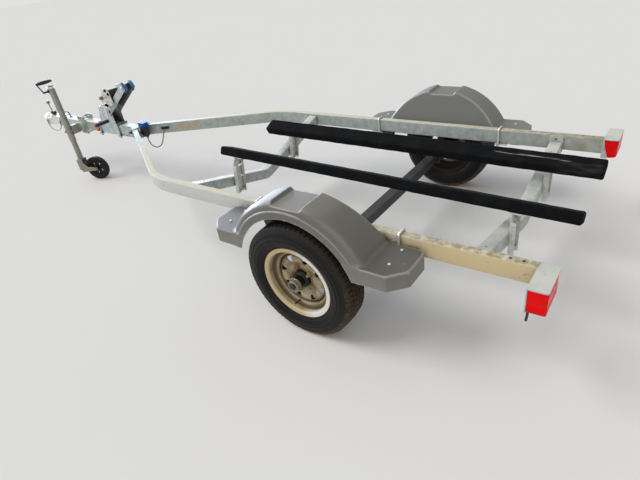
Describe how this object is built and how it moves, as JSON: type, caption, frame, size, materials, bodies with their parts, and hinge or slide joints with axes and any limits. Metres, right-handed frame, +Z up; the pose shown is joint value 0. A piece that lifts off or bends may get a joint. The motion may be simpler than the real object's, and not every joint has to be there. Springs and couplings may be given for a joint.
{
  "type": "boat trailer",
  "caption": "Single-axle boat trailer with a bent galvanised tube frame, padded bunks, moulded fenders, winch post and swinging jockey-wheel jack.",
  "frame": {"origin": "middle of the trailer's footprint on the floor", "axes": "+X forward to the coupler, +Y to the trailer's left, +Z up"},
  "size_m": [4.465, 1.708, 0.835],
  "materials": {
    "galvanised": "satin",
    "zinc": "satin",
    "black_steel": "satin",
    "rim_paint": "satin",
    "tyre_rubber": "matt",
    "solid_rubber": "matt",
    "fender_plastic": "satin",
    "lens_red": "gloss",
    "reflector_amber": "gloss",
    "bunk_carpet": "matt",
    "plug_plastic": "satin",
    "cable_sheath": "satin",
    "label": "satin"
  },
  "bodies": {
    "frame": {"tongue": "galvanised", "gussets": "galvanised", "label_plate": "label", "crossmember_rear": "galvanised", "crossmember_front": "galvanised", "axle_beam": "black_steel", "rail_left": "galvanised", "rail_right": "galvanised", "spring_left": "black_steel", "spring_right": "black_steel", "spring_mounts_left": "black_steel", "spring_mounts_right": "black_steel", "fender_left": "fender_plastic", "fender_right": "fender_plastic", "fender_mounts_left": "galvanised", "fender_mounts_right": "galvanised", "lamp_guard_left": "galvanised", "lamp_guard_right": "galvanised", "lamp_lens_left": "lens_red", "lamp_lens_right": "lens_red", "bunk_left": "bunk_carpet", "bunk_right": "bunk_carpet", "bunk_posts_left": "galvanised", "bunk_posts_right": "galvanised", "winch_foot": "galvanised", "winch_arm": "galvanised", "winch_frame": "zinc", "coupler": "zinc", "coupler_latch": "zinc", "grab_handle": "black_steel", "jack_bracket": "galvanised", "side_reflectors": "reflector_amber", "wiring_plug": "plug_plastic", "wiring_cable": "cable_sheath", "safety_cable": "cable_sheath"},
    "wheel_left": {"tyre_left": "tyre_rubber", "rim_left": "rim_paint", "hub_left": "black_steel"},
    "wheel_right": {"tyre_right": "tyre_rubber", "rim_right": "rim_paint", "hub_right": "black_steel"},
    "jack_swing": {"jack_tube": "galvanised", "jack_crank": "solid_rubber"},
    "jack_slide": {"jack_leg": "galvanised"},
    "caster": {"jack_fork": "galvanised"},
    "jockey": {"jockey_wheel": "solid_rubber"},
    "winch": {"winch_drum": "solid_rubber", "winch_crank": "zinc"},
    "roller": {"bow_roller": "solid_rubber"}
  },
  "joints": [
    {"name": "wheel_left_spin", "type": "hinge", "parent": "frame", "child": "wheel_left", "pos_m": [-1.29745, 0.7675, 0.269], "axis": [0, 1, 0], "continuous": true},
    {"name": "wheel_right_spin", "type": "hinge", "parent": "frame", "child": "wheel_right", "pos_m": [-1.29745, -0.7675, 0.269], "axis": [0, 1, 0], "continuous": true},
    {"name": "jack_fold", "type": "hinge", "parent": "frame", "child": "jack_swing", "pos_m": [1.56055, 0.087, 0.43], "axis": [0, 1, 0], "range_deg": [-90, 0]},
    {"name": "jack_lift", "type": "slide", "parent": "jack_swing", "child": "jack_slide", "axis": [0, 0, 1], "range_m": [-0.08, 0.12]},
    {"name": "caster_swivel", "type": "hinge", "parent": "jack_slide", "child": "caster", "pos_m": [1.56055, 0.171, 0.187], "axis": [0, 0, -1], "continuous": true},
    {"name": "jockey_spin", "type": "hinge", "parent": "caster", "child": "jockey", "pos_m": [1.44179, 0.11812, 0.099], "axis": [-0.4067, 0.9135, 0], "continuous": true},
    {"name": "winch_spin", "type": "hinge", "parent": "frame", "child": "winch", "pos_m": [1.02455, 0, 0.7], "axis": [0, 1, 0], "continuous": true},
    {"name": "roller_spin", "type": "hinge", "parent": "frame", "child": "roller", "pos_m": [0.79355, 0, 0.767], "axis": [0, 1, 0], "continuous": true}
  ]
}
